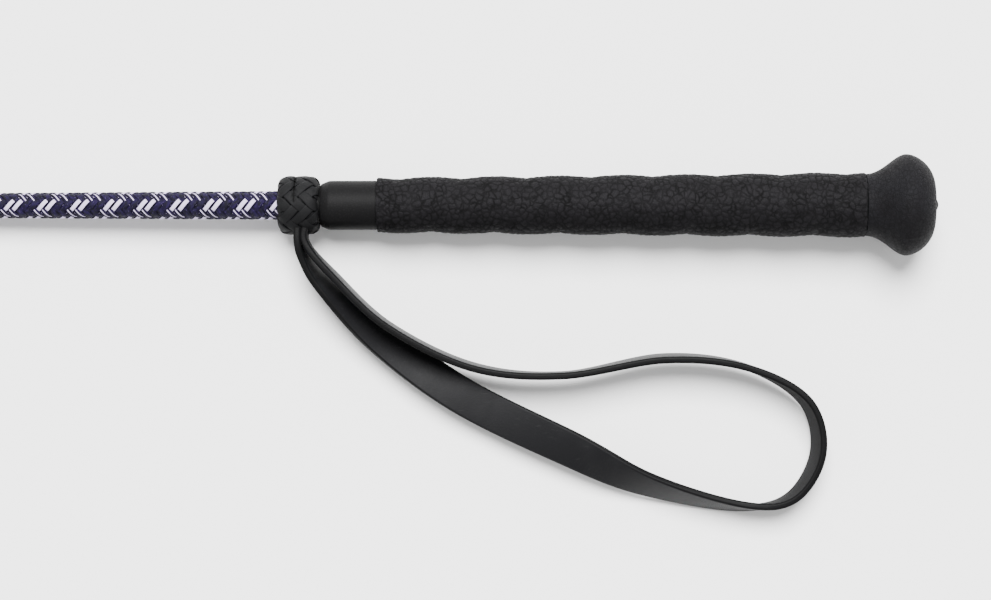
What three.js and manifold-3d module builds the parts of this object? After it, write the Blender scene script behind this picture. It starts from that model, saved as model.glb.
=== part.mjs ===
// Riding crop: a tapered rod in a braided cover, with a rubber grip, a mushroom butt cap, a
// turk's-head knot that holds a leather wrist strap, and a leather keeper bound to the tip.
// Millimetres, +Z up. The crop lies on a table, and +X runs along the shaft to the butt.
// Stations along the shaft are measured from the front of the handle tube.
import * as THREE from 'three';
import { mergeVertices } from 'three/addons/utils/BufferGeometryUtils.js';
import Module from 'manifold-3d';

const wasm = await Module();
wasm.setup();

const GAP = 0.3;

// Shaft
const COVER_START = -356;
const COVER_END = 12;
const COVER_WALL = 0.9;
const SHAFT_RADIUS_AT_TUBE = 5.0;
const SHAFT_TAPER = 0.0056;
const ROD_TIP = -374;
const ROD_END = 196;

// Handle
const TUBE_RADIUS = 8.75;
const TUBE_NOSE_RADIUS = 7.6;
const TUBE_NOSE_LENGTH = 3.2;
const TUBE_END = 204;
const SPIGOT_RADIUS = 8.3;
const GRIP_START = 20;
const GRIP_END = 193;
const GRIP_START_RADIUS = 10;
const GRIP_END_RADIUS = 11.7;
const SPIRAL_PITCH = 22.6;
const SPIRAL_START = 28;
const SPIRAL_DEPTH = 0.8;
const CAP_START = 193.6;
const CAP_NECK_RADIUS = 11;
const CAP_RIM_STATION = 208;
const CAP_RIM_RADIUS = 18;
const CAP_END = 219;
const CAP_SOCKET_END = 204.6;
const CAP_FLARE_LENGTH = 6;
const CAP_ROUNDING = 3.4;
const CROWN_RADIUS = 9.5;
const CROWN_HEIGHT = 1.8;
const NIB_BASE_RADIUS = 4.2;
const NIB_HEIGHT = 1.3;
const NIB_TIP_RADIUS = 1;

// Knot, and the strap ends under it
const KNOT_START = -15.1;
const KNOT_END = -0.4;
const KNOT_RADIUS = 10.3;
const KNOT_SHOULDER = 3.7;
const KNOT_CAVITY_RADIUS = 8.2;
const KNOT_LIP = 1.2;
const KNOT_START_STEP = 2.2;
const KNOT_END_STEP = 2.7;
const KNOT_CHAMFER = 0.6;
const SLOT_CLEARANCE = 0.4;
const COLLAR_RADIUS = 7;
const COLLAR_NOTCH_FLOOR = 3.5;
const BINDING_INNER_RADIUS = 7.5;
const BINDING_OUTER_RADIUS = 7.95;
const TAIL_WIDTH = 6.4;
const TAIL_THICKNESS = 1.2;
const TAIL_DEPTH = 5.35;
const TAIL_EXIT = 10.8;
const FRONT_TAIL_END = -12.9;
const REAR_TAIL_END = -2.6;
const FRONT_BINDING = [-12.7, -9.6];
const REAR_BINDING = [-3.9, -2.8];

// Wrist strap
const STRAP_WIDTH = 13.4;
const STRAP_THICKNESS = 2.5;
const STRAP_STEPS = 72;
const FRONT_LIMB = -8.1;
const REAR_LIMB = -5.3;
const STRAP_EXIT = -13.6;
// Each row is: along the shaft, across it, clearance under the strap, lean in degrees.
// A lean of 0 or 180 stands the strap on edge, and 90 lays it flat.
const STRAP_ROUTE = [
  [FRONT_LIMB, STRAP_EXIT, 6.3, 0],
  [-6, -19, 5, 8],
  [1, -28, 4.2, 25],
  [22, -48, 3.2, 60],
  [51, -68.5, 6.5, 84],
  [89, -87, 7, 108],
  [116, -99.5, 3, 144],
  [149, -107.5, 0, 169],
  [168, -104.5, 0.8, 186],
  [177.5, -88, 2.2, 191],
  [172.5, -69.5, 3.5, 188],
  [151, -57.5, 4.6, 179],
  [122, -54.5, 5.2, 175],
  [86, -60.5, 5.8, 179],
  [54, -57.5, 6.4, 176],
  [24, -43, 7, 176],
  [4, -24.5, 6.8, 176],
  [REAR_LIMB, STRAP_EXIT, 6.3, 180],
];

// Keeper
const WHIPPING_START = -372;
const WHIPPING_END = -358;
const WHIPPING_INNER_RADIUS = 4.1;
const WHIPPING_OUTER_RADIUS = 4.7;
const ROOT_END = -357;
const ROOT_HALF_WIDTH = 2;
const ROOT_THICKNESS = 1.2;
const ROOT_OFFSET = 2.7;
const FLARE_START = -374;
const FLARE_END = -400;
const FLARE_START_EASE = 10;
const FLARE_END_EASE = 8;
const FLAP_PIVOT = -388;
const FLAP_FLAT = -404;
const FLAP_END = -431;
const FLAP_HALF_WIDTH = 13.5;
const FLAP_CORNER = 7;
const SINK_EASE = 6;
const CUTTER_FLOOR = -8;
const CUTTER_DEPTH = 30;
const PLY_THICKNESS = 1.5;

// The butt rim and the whipping both touch the table, which sets the slope of the shaft.
const SLOPE = (CAP_RIM_RADIUS - WHIPPING_OUTER_RADIUS) / (CAP_RIM_STATION - WHIPPING_START);

const FINISHES = {
  glassFibre: [0xcfc8a8, 0.5, 0],
  braid: [0x2a1e54, 0.6, 0],
  tube: [0x3a383a, 0.45, 0],
  rubber: [0x323033, 0.7, 0],
  cap: [0x2c292e, 0.65, 0],
  wood: [0xb58e5e, 0.7, 0],
  knot: [0x2b2b2e, 0.45, 0],
  thread: [0x17171a, 0.75, 0],
  leather: [0x2c2b2f, 0.5, 0],
};

function axisHeight(station) {
  return CAP_RIM_RADIUS + SLOPE * (station - CAP_RIM_STATION);
}

function shaftRadius(station) {
  return SHAFT_RADIUS_AT_TUBE + SHAFT_TAPER * station;
}

function rodRadius(station) {
  return shaftRadius(Math.min(station, COVER_END)) - COVER_WALL - GAP;
}

// A closed mesh with shared corners and no collapsed triangles.
function weld(geometry) {
  geometry.deleteAttribute('normal');
  geometry.deleteAttribute('uv');
  const merged = mergeVertices(geometry, 1e-4);
  const corners = merged.index.array;
  const kept = [];
  for (let i = 0; i < corners.length; i += 3) {
    const [a, b, c] = corners.slice(i, i + 3);
    if (a !== b && b !== c && c !== a) kept.push(a, b, c);
  }
  merged.setIndex(kept);
  return merged;
}

function toManifold(geometry) {
  const welded = weld(geometry);
  return new wasm.Manifold(new wasm.Mesh({
    numProp: 3,
    vertProperties: new Float32Array(welded.attributes.position.array),
    triVerts: new Uint32Array(welded.index.array),
  }));
}

function fromManifold(solid) {
  const { vertProperties, triVerts } = solid.getMesh();
  const geometry = new THREE.BufferGeometry();
  geometry.setAttribute('position', new THREE.BufferAttribute(vertProperties, 3));
  geometry.setIndex(new THREE.BufferAttribute(triVerts, 1));
  return geometry;
}

// Turns a profile of [radius, station] points about the shaft axis, which is +X.
function turned(profile, segments) {
  const points = profile.map(([radius, station]) => new THREE.Vector2(radius, station));
  return weld(new THREE.LatheGeometry(points, segments).rotateZ(-Math.PI / 2));
}

function ring(start, end, innerRadius, outerRadius, segments = 32) {
  return turned([
    [innerRadius, start], [outerRadius, start], [outerRadius, end], [innerRadius, end],
    [innerRadius, start],
  ], segments);
}

function block(xRange, yRange, zRange) {
  const box = new THREE.BoxGeometry(
    xRange[1] - xRange[0], yRange[1] - yRange[0], zRange[1] - zRange[0]);
  return box.translate(
    (xRange[0] + xRange[1]) / 2, (yRange[0] + yRange[1]) / 2, (zRange[0] + zRange[1]) / 2);
}

function coreRod() {
  return turned([
    [0, ROD_TIP], [rodRadius(ROD_TIP), ROD_TIP], [rodRadius(COVER_END), COVER_END],
    [rodRadius(ROD_END), ROD_END], [0, ROD_END],
  ], 24);
}

function braidedCover() {
  const outerStart = shaftRadius(COVER_START);
  const outerEnd = shaftRadius(COVER_END);
  return turned([
    [outerStart - COVER_WALL, COVER_START], [outerStart, COVER_START], [outerEnd, COVER_END],
    [outerEnd - COVER_WALL, COVER_END], [outerStart - COVER_WALL, COVER_START],
  ], 24);
}

function handleTube() {
  const mouthRadius = shaftRadius(COVER_END) + GAP;
  const boreRadius = rodRadius(ROD_END) + GAP;
  const counterboreEnd = COVER_END + 2;
  const shoulder = GRIP_START - GAP;
  return turned([
    [mouthRadius, 0], [TUBE_NOSE_RADIUS, 0], [TUBE_RADIUS, TUBE_NOSE_LENGTH],
    [TUBE_RADIUS, shoulder], [SPIGOT_RADIUS, shoulder], [SPIGOT_RADIUS, TUBE_END],
    [boreRadius, TUBE_END], [boreRadius, counterboreEnd], [mouthRadius, counterboreEnd],
    [mouthRadius, 0],
  ], 32);
}

function buttPlug() {
  const radius = rodRadius(ROD_END);
  const start = ROD_END + GAP;
  const end = TUBE_END - GAP;
  return turned([[0, start], [radius, start], [radius, end], [0, end]], 24);
}

// A sleeve whose outside has one helical valley between broad, rounded crests.
function gripSleeve() {
  const rings = 54;
  const bore = SPIGOT_RADIUS + GAP;
  const outside = [];
  for (let i = 0; i <= rings; i += 1) {
    const share = i / rings;
    outside.push([
      THREE.MathUtils.lerp(GRIP_START_RADIUS, GRIP_END_RADIUS, share),
      THREE.MathUtils.lerp(GRIP_START, GRIP_END, share),
    ]);
  }
  const sleeve = turned([[bore, GRIP_START], ...outside, [bore, GRIP_END], [bore, GRIP_START]], 24);
  const position = sleeve.attributes.position;
  for (let i = 0; i < position.count; i += 1) {
    const y = position.getY(i);
    const z = position.getZ(i);
    const radius = Math.hypot(y, z);
    if (radius > bore + GAP) {
      const turns = (position.getX(i) - SPIRAL_START) / SPIRAL_PITCH
        + Math.atan2(z, y) / (2 * Math.PI);
      const shrink = 1 - SPIRAL_DEPTH * (1 - Math.abs(Math.sin(Math.PI * turns))) / radius;
      position.setY(i, y * shrink);
      position.setZ(i, z * shrink);
    }
  }
  return sleeve;
}

// A mushroom cap: a neck flaring to a round rim, a shallow domed end and a small nib.
function buttCap() {
  const socketRadius = SPIGOT_RADIUS + GAP;
  const outline = new THREE.Path();
  outline.moveTo(CAP_NECK_RADIUS, CAP_START);
  outline.bezierCurveTo(
    CAP_NECK_RADIUS, CAP_START + CAP_FLARE_LENGTH, CAP_RIM_RADIUS, CAP_RIM_STATION - CAP_ROUNDING,
    CAP_RIM_RADIUS, CAP_RIM_STATION);
  outline.bezierCurveTo(
    CAP_RIM_RADIUS, CAP_RIM_STATION + CAP_ROUNDING, CAP_RIM_RADIUS - CAP_ROUNDING,
    CAP_END - CROWN_HEIGHT - 1, CROWN_RADIUS, CAP_END - CROWN_HEIGHT);
  outline.lineTo(NIB_BASE_RADIUS, CAP_END - NIB_HEIGHT);
  outline.lineTo(NIB_TIP_RADIUS, CAP_END);
  const outside = outline.getPoints(8).map((point) => [point.x, point.y]);
  return turned([
    [0, CAP_SOCKET_END], [socketRadius, CAP_SOCKET_END], [socketRadius, CAP_START],
    ...outside, [0, CAP_END],
  ], 36);
}

// A hollow barrel with lips that close on the shaft, and a slot where the strap comes out.
function turksHeadKnot() {
  const lipRadius = shaftRadius(0) + GAP;
  const chamferRadius = KNOT_CAVITY_RADIUS - KNOT_CHAMFER;
  const outline = new THREE.Path();
  outline.moveTo(KNOT_RADIUS - KNOT_START_STEP, KNOT_START);
  outline.quadraticCurveTo(KNOT_RADIUS, KNOT_START + GAP, KNOT_RADIUS, KNOT_START + KNOT_SHOULDER);
  outline.lineTo(KNOT_RADIUS, KNOT_END - KNOT_SHOULDER);
  outline.quadraticCurveTo(KNOT_RADIUS, KNOT_END - KNOT_LIP, KNOT_RADIUS - KNOT_END_STEP, KNOT_END);
  const outside = outline.getPoints(5).map((point) => [point.x, point.y]);
  const barrel = turned([
    [lipRadius, KNOT_START], ...outside, [lipRadius, KNOT_END],
    [lipRadius, KNOT_END - KNOT_LIP], [chamferRadius, KNOT_END - KNOT_LIP],
    [KNOT_CAVITY_RADIUS, KNOT_END - 2 * KNOT_LIP], [KNOT_CAVITY_RADIUS, KNOT_START + 2 * KNOT_LIP],
    [chamferRadius, KNOT_START + KNOT_LIP], [lipRadius, KNOT_START + KNOT_LIP],
    [lipRadius, KNOT_START],
  ], 36);
  const sideClearance = STRAP_THICKNESS / 2 + SLOT_CLEARANCE;
  const halfSlot = STRAP_WIDTH / 2 + SLOT_CLEARANCE;
  const slot = block(
    [FRONT_LIMB - sideClearance, REAR_LIMB + sideClearance],
    [-2 * KNOT_RADIUS, -KNOT_CAVITY_RADIUS / 2], [-halfSlot, halfSlot]);
  return fromManifold(toManifold(barrel).subtract(toManifold(slot)));
}

// The collar under the knot, notched on one side for the strap tails.
function knotFoundation() {
  const start = KNOT_START + 2 * KNOT_LIP - GAP;
  const end = KNOT_END - 2 * KNOT_LIP + GAP;
  const collar = ring(start, end, shaftRadius(0) + GAP, COLLAR_RADIUS);
  const halfNotch = TAIL_WIDTH / 2 + GAP;
  const notch = block(
    [start - 1, end + 1], [-COLLAR_RADIUS - 1, -COLLAR_NOTCH_FLOOR], [-halfNotch, halfNotch]);
  return fromManifold(toManifold(collar).subtract(toManifold(notch)));
}

// One strap end: a skived tail along the shaft, turned out through the knot at full width.
function strapTail(limb, tailEnd) {
  const half = STRAP_THICKNESS / 2;
  const halfTail = TAIL_WIDTH / 2;
  const tail = block(
    [Math.min(limb - half, tailEnd), Math.max(limb + half, tailEnd)],
    [-TAIL_DEPTH - TAIL_THICKNESS, -TAIL_DEPTH], [-halfTail, halfTail]);
  const shank = block([limb - half, limb + half], [-TAIL_EXIT, -TAIL_DEPTH], [-halfTail, halfTail]);
  const mouth = block(
    [limb - half, limb + half], [-TAIL_EXIT, -KNOT_CAVITY_RADIUS - GAP],
    [-STRAP_WIDTH / 2, STRAP_WIDTH / 2]);
  return fromManifold(toManifold(tail).add(toManifold(shank)).add(toManifold(mouth)));
}

function binding([start, end]) {
  return ring(start, end, BINDING_INNER_RADIUS, BINDING_OUTER_RADIUS, 24);
}

// Bends a long flat bar along the strap's route, leaning each section as the route says.
function strapLoop() {
  const leanAt = (degrees) => THREE.MathUtils.degToRad(degrees);
  const restHeight = (lean) => (
    STRAP_WIDTH * Math.abs(Math.cos(lean)) + STRAP_THICKNESS * Math.abs(Math.sin(lean))) / 2;
  const route = new THREE.CatmullRomCurve3(STRAP_ROUTE.map(
    ([x, y, lift]) => new THREE.Vector3(x, y, lift)), false, 'catmullrom', 0.5);
  const leans = new THREE.CatmullRomCurve3(STRAP_ROUTE.map(
    (row) => new THREE.Vector3(leanAt(row[3]), 0, 0)), false, 'catmullrom', 0.5);
  const bar = new THREE.BoxGeometry(1, STRAP_WIDTH, STRAP_THICKNESS, STRAP_STEPS, 1, 1);
  const position = bar.attributes.position;
  for (let i = 0; i < position.count; i += 1) {
    const share = THREE.MathUtils.clamp(position.getX(i) + 0.5, 0, 1);
    const curveShare = route.getUtoTmapping(share);
    const centre = route.getPoint(curveShare);
    const lean = leans.getPoint(curveShare).x;
    const along = route.getTangent(curveShare).setZ(0).normalize();
    const outward = new THREE.Vector3(along.y, -along.x, 0);
    const widthways = outward.clone().multiplyScalar(Math.sin(lean)).setZ(Math.cos(lean));
    const facing = new THREE.Vector3().crossVectors(along, widthways);
    centre.z = Math.max(centre.z, 0) + restHeight(lean);
    centre.addScaledVector(widthways, position.getY(i)).addScaledVector(facing, position.getZ(i));
    position.setXYZ(i, centre.x, centre.y, centre.z);
  }
  return weld(bar);
}

// Plan of the keeper: a narrow root that flares into a tongue with rounded end corners.
function keeperOutline() {
  const outline = new THREE.Shape();
  outline.moveTo(ROOT_END, -ROOT_HALF_WIDTH);
  outline.lineTo(ROOT_END, ROOT_HALF_WIDTH);
  outline.lineTo(FLARE_START, ROOT_HALF_WIDTH);
  outline.bezierCurveTo(
    FLARE_START - FLARE_START_EASE, ROOT_HALF_WIDTH, FLARE_END + FLARE_END_EASE, FLAP_HALF_WIDTH,
    FLARE_END, FLAP_HALF_WIDTH);
  outline.lineTo(FLAP_END + FLAP_CORNER, FLAP_HALF_WIDTH);
  outline.quadraticCurveTo(FLAP_END, FLAP_HALF_WIDTH, FLAP_END, FLAP_HALF_WIDTH - FLAP_CORNER);
  outline.lineTo(FLAP_END, FLAP_CORNER - FLAP_HALF_WIDTH);
  outline.quadraticCurveTo(FLAP_END, -FLAP_HALF_WIDTH, FLAP_END + FLAP_CORNER, -FLAP_HALF_WIDTH);
  outline.lineTo(FLARE_END, -FLAP_HALF_WIDTH);
  outline.bezierCurveTo(
    FLARE_END + FLARE_END_EASE, -FLAP_HALF_WIDTH, FLARE_START - FLARE_START_EASE,
    -ROOT_HALF_WIDTH, FLARE_START, -ROOT_HALF_WIDTH);
  return outline;
}

// Cuts a leather ply from the keeper's plan, with a side profile of [station, height] points.
function keeperPly(middle, thickness) {
  const half = thickness / 2;
  const above = middle.map(([x, z]) => new THREE.Vector2(x, z + half));
  const below = middle.map(([x, z]) => new THREE.Vector2(x, z - half)).reverse();
  const depth = 4 * FLAP_HALF_WIDTH;
  const side = new THREE.ExtrudeGeometry(
    new THREE.Shape([...above, ...below]), { depth, bevelEnabled: false, steps: 1 });
  side.rotateX(Math.PI / 2).translate(0, depth / 2, 0);
  const plan = new THREE.ExtrudeGeometry(
    keeperOutline(), { depth: CUTTER_DEPTH, bevelEnabled: false, curveSegments: 10 });
  plan.translate(0, 0, CUTTER_FLOOR);
  return fromManifold(toManifold(side).intersect(toManifold(plan)));
}

// The bound tongue: clear of the rod under the whipping, then closing on its twin.
function keeperRoot(side) {
  const clearOfPivot = FLAP_PIVOT + PLY_THICKNESS + 2 * GAP;
  const closing = ROD_TIP - GAP;
  const meeting = (PLY_THICKNESS + GAP) / 2;
  return keeperPly([
    [ROOT_END, axisHeight(ROOT_END) + side * ROOT_OFFSET],
    [closing, axisHeight(closing) + side * ROOT_OFFSET],
    [clearOfPivot, axisHeight(clearOfPivot) + side * meeting],
  ], ROOT_THICKNESS);
}

// A flap ply: from the pivot it sinks to the table and lies flat on it.
function keeperFlap(side) {
  const meeting = (PLY_THICKNESS + GAP) / 2;
  const restingMiddle = PLY_THICKNESS + GAP / 2;
  const sink = new THREE.CubicBezierCurve(
    new THREE.Vector2(FLAP_PIVOT, axisHeight(FLAP_PIVOT) + side * meeting),
    new THREE.Vector2(FLAP_PIVOT - SINK_EASE, axisHeight(FLAP_PIVOT) + side * meeting),
    new THREE.Vector2(FLAP_FLAT + SINK_EASE, restingMiddle + side * meeting),
    new THREE.Vector2(FLAP_FLAT, restingMiddle + side * meeting));
  const middle = sink.getPoints(6).map((point) => [point.x, point.y]);
  return keeperPly([...middle, [FLAP_END - GAP, restingMiddle + side * meeting]], PLY_THICKNESS);
}

function addPiece(group, name, geometry, finish) {
  const [color, roughness, metalness] = FINISHES[finish];
  const mesh = new THREE.Mesh(
    geometry, new THREE.MeshStandardMaterial({ color, roughness, metalness }));
  mesh.name = name;
  group.add(mesh);
}

function shaftAssembly() {
  const shaft = new THREE.Group();
  addPiece(shaft, 'core_rod', coreRod(), 'glassFibre');
  addPiece(shaft, 'braided_cover', braidedCover(), 'braid');
  addPiece(shaft, 'handle_tube', handleTube(), 'tube');
  addPiece(shaft, 'butt_plug', buttPlug(), 'wood');
  addPiece(shaft, 'grip_sleeve', gripSleeve(), 'rubber');
  addPiece(shaft, 'butt_cap', buttCap(), 'cap');
  addPiece(shaft, 'turks_head_knot', turksHeadKnot(), 'knot');
  addPiece(shaft, 'knot_foundation', knotFoundation(), 'thread');
  addPiece(shaft, 'strap_tail_front', strapTail(FRONT_LIMB, FRONT_TAIL_END), 'leather');
  addPiece(shaft, 'strap_tail_rear', strapTail(REAR_LIMB, REAR_TAIL_END), 'leather');
  addPiece(shaft, 'binding_front', binding(FRONT_BINDING), 'thread');
  addPiece(shaft, 'binding_rear', binding(REAR_BINDING), 'thread');
  addPiece(shaft, 'keeper_whipping', ring(
    WHIPPING_START, WHIPPING_END, WHIPPING_INNER_RADIUS, WHIPPING_OUTER_RADIUS), 'thread');
  shaft.rotation.y = -Math.atan(SLOPE);
  shaft.position.z = axisHeight(0);
  return shaft;
}

function leatherAssembly() {
  const leather = new THREE.Group();
  addPiece(leather, 'strap_loop', strapLoop(), 'leather');
  addPiece(leather, 'keeper_root_upper', keeperRoot(1), 'leather');
  addPiece(leather, 'keeper_root_lower', keeperRoot(-1), 'leather');
  addPiece(leather, 'keeper_flap_upper', keeperFlap(1), 'leather');
  addPiece(leather, 'keeper_flap_lower', keeperFlap(-1), 'leather');
  return leather;
}

// Stands the crop on the table, centred under its bounding box.
function ridingCrop() {
  const crop = new THREE.Group();
  crop.add(shaftAssembly(), leatherAssembly());
  const bounds = new THREE.Box3().setFromObject(crop, true);
  const centre = bounds.getCenter(new THREE.Vector3());
  crop.position.set(-centre.x, -centre.y, -bounds.min.z);
  crop.updateMatrixWorld(true);
  return crop;
}

export default ridingCrop();
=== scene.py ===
"""A riding crop: braided shaft, woven knot, rubber grip, butt cap, wrist strap and keeper.

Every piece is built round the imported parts, in metres, in the parts' own frame. Pieces on the
shaft are shaped in shaft coordinates, where X is the station behind the handle tube's front.
"""

import logging
import math
from collections.abc import Callable, Sequence
from dataclasses import dataclass
from enum import Enum

import bmesh
import bpy
from mathutils import Matrix, Vector


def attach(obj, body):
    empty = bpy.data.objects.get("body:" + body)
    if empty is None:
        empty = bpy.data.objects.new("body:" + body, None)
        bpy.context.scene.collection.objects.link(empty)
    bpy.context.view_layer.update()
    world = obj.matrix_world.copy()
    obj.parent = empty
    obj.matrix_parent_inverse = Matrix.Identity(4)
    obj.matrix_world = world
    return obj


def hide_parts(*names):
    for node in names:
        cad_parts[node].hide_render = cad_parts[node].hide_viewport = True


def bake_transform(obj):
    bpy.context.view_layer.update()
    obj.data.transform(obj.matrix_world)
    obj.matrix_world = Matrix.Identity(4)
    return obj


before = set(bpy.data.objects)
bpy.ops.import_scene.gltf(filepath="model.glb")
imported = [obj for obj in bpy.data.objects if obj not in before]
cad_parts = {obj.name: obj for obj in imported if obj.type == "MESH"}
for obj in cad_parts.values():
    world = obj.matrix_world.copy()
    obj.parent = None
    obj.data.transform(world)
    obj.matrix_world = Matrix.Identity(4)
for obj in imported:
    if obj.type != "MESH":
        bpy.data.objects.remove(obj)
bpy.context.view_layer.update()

MM = 0.001
THIN_WALL = 0.9 * MM
FIT = 0.3 * MM
SLIT_HALF = 0.2 * MM
log = logging.getLogger("riding_crop")

Colour = tuple[float, float, float, float]
Point = tuple[float, float]


def grey(value: float, red: float = 1.0, blue: float = 1.0) -> Colour:
    """Gives an almost neutral colour, warmed by red or cooled by blue."""
    return (value * red, value, value * blue, 1.0)


# ---------------------------------------------------------------- node graphs


def operator(operation: str, reflected: bool = False) -> Callable[..., "Wire"]:
    """Makes an arithmetic method that adds one Math node.

    Args:
        operation: The node's operation.
        reflected: True where the other value comes first.

    Returns:
        The method.
    """

    def method(wire: "Wire", other: object = 0.0) -> "Wire":
        """Adds the node."""
        left, right = (other, wire) if reflected else (wire, other)
        return wire.graph.node("ShaderNodeMath", {"operation": operation}, {0: left, 1: right})

    return method


class Wire:
    """A node's output socket that can be used in arithmetic."""

    __add__ = operator("ADD")
    __radd__ = operator("ADD", reflected=True)
    __sub__ = operator("SUBTRACT")
    __rsub__ = operator("SUBTRACT", reflected=True)
    __mul__ = operator("MULTIPLY")
    __rmul__ = operator("MULTIPLY", reflected=True)
    __truediv__ = operator("DIVIDE")
    __rtruediv__ = operator("DIVIDE", reflected=True)
    __pow__ = operator("POWER")
    __lt__ = operator("LESS_THAN")
    __mod__ = operator("FLOORED_MODULO")
    __abs__ = operator("ABSOLUTE")
    sine = operator("SINE")
    cosine = operator("COSINE")

    def __init__(self, graph: "Graph", node: bpy.types.Node, socket: bpy.types.NodeSocket) -> None:
        """Wraps one socket of a node in a graph."""
        self.graph = graph
        self.node = node
        self.socket = socket

    def other(self, name: str) -> "Wire":
        """Gives another output of the same node."""
        return Wire(self.graph, self.node, self.node.outputs[name])

    def ramp(self, low: float, high: float, start: float = 0.0, end: float = 1.0) -> "Wire":
        """Goes smoothly from start to end as this value goes from low to high.

        Args:
            low: The value where the change starts.
            high: The value where the change is complete.
            start: The result up to low.
            end: The result from high.

        Returns:
            The eased value.
        """
        return self.graph.node(
            "ShaderNodeMapRange", {"interpolation_type": "SMOOTHSTEP"},
            {"Value": self, "From Min": low, "From Max": high, "To Min": start, "To Max": end})


class Graph:
    """A node tree that is filled by one node-making method."""

    def __init__(self, tree: bpy.types.NodeTree) -> None:
        """Starts on an existing tree."""
        self.tree = tree

    def node(
        self,
        kind: str,
        settings: dict[str, object] | None = None,
        inputs: dict[int | str, object] | None = None,
        output: int | str = 0,
    ) -> Wire:
        """Makes one node.

        Args:
            kind: The node's type.
            settings: Its own properties, which are set first.
            inputs: Values, or wires to link, by socket name or index.
            output: The output that is handed back.

        Returns:
            The chosen output.
        """
        made = self.tree.nodes.new(kind)
        for key, value in (settings or {}).items():
            setattr(made, key, value)
        for key, value in (inputs or {}).items():
            if isinstance(value, Wire):
                self.tree.links.new(value.socket, made.inputs[key])
            else:
                made.inputs[key].default_value = value
        return Wire(self, made, made.outputs[output])

    def vector(self, x: object, y: object, z: object) -> Wire:
        """Joins three values into a vector."""
        return self.node("ShaderNodeCombineXYZ", None, {0: x, 1: y, 2: z})

    def parts(self, vector: Wire) -> tuple[Wire, Wire, Wire]:
        """Splits a vector into its three values."""
        split = self.node("ShaderNodeSeparateXYZ", None, {0: vector})
        return split, split.other("Y"), split.other("Z")

    def scaled(self, vector: Wire, factor: object) -> Wire:
        """Scales a vector by one value."""
        return self.node(
            "ShaderNodeVectorMath", {"operation": "SCALE"}, {"Vector": vector, "Scale": factor})

    def moved(self, vector: Wire, offset: object) -> Wire:
        """Adds a vector to another."""
        return self.node("ShaderNodeVectorMath", {"operation": "ADD"}, {0: vector, 1: offset})

    def warped(self, vector: Wire, cell: object, share: float) -> Wire:
        """Shifts a vector by smooth noise, up to a share of a cell."""
        noise = self.node(
            "ShaderNodeTexNoise", None, {"Vector": vector, "Scale": 0.8 / cell}, "Color")
        centred = self.moved(noise, (-0.5, -0.5, -0.5))
        return self.moved(vector, self.scaled(centred, cell * (2.0 * share)))

    def dot(self, left: object, right: object) -> Wire:
        """Gives the dot product of two vectors."""
        return self.node(
            "ShaderNodeVectorMath", {"operation": "DOT_PRODUCT"}, {0: left, 1: right}, "Value")

    def creases(self, vector: Wire, cell: object) -> Wire:
        """Gives the distance to the nearest crease between cells, in cells."""
        return self.node(
            "ShaderNodeTexVoronoi", {"feature": "DISTANCE_TO_EDGE"},
            {"Vector": vector, "Scale": 1.0 / cell})


class Paint(Graph):
    """The shader graph of one material."""

    def __init__(self, name: str) -> None:
        """Makes a material with only its Principled shader."""
        self.material = bpy.data.materials.new(name)
        self.material.use_nodes = True
        super().__init__(self.material.node_tree)
        self.shader = self.tree.nodes["Principled BSDF"]

    def place(self) -> Wire:
        """Gives the point in the frame, in metres."""
        return self.node("ShaderNodeTexCoord", output="Object")

    def attribute(self, name: str) -> Wire:
        """Reads one of the piece's own values."""
        return self.node("ShaderNodeAttribute", {"attribute_name": name}, output="Fac")

    def noise(self, vector: Wire, cell: float, detail: float = 3.0, rough: float = 0.5) -> Wire:
        """Gives noise with features of about one cell's size, from 0 to 1."""
        return self.node(
            "ShaderNodeTexNoise", None,
            {"Vector": vector, "Scale": 1.0 / cell, "Detail": detail, "Roughness": rough})

    def mix(self, share: object, first: object, second: object) -> Wire:
        """Mixes two colours: the second shows where the share is 1."""
        return self.node(
            "ShaderNodeMix", {"data_type": "RGBA"}, {0: share, 6: first, 7: second}, 2)

    def bump(self, height: Wire, depth: float) -> Wire:
        """Turns heights from 0 to 1 into a normal, where 1 stands for a depth in metres."""
        return self.node("ShaderNodeBump", None, {"Height": height, "Distance": depth})

    def finish(self, **sockets: object) -> bpy.types.Material:
        """Sets the shader's sockets, and gives the material."""
        for key, value in sockets.items():
            socket = self.shader.inputs[key.replace("_", " ").title().replace("Ior", "IOR")]
            if isinstance(value, Wire):
                self.tree.links.new(value.socket, socket)
            else:
                socket.default_value = value
        return self.material


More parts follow.
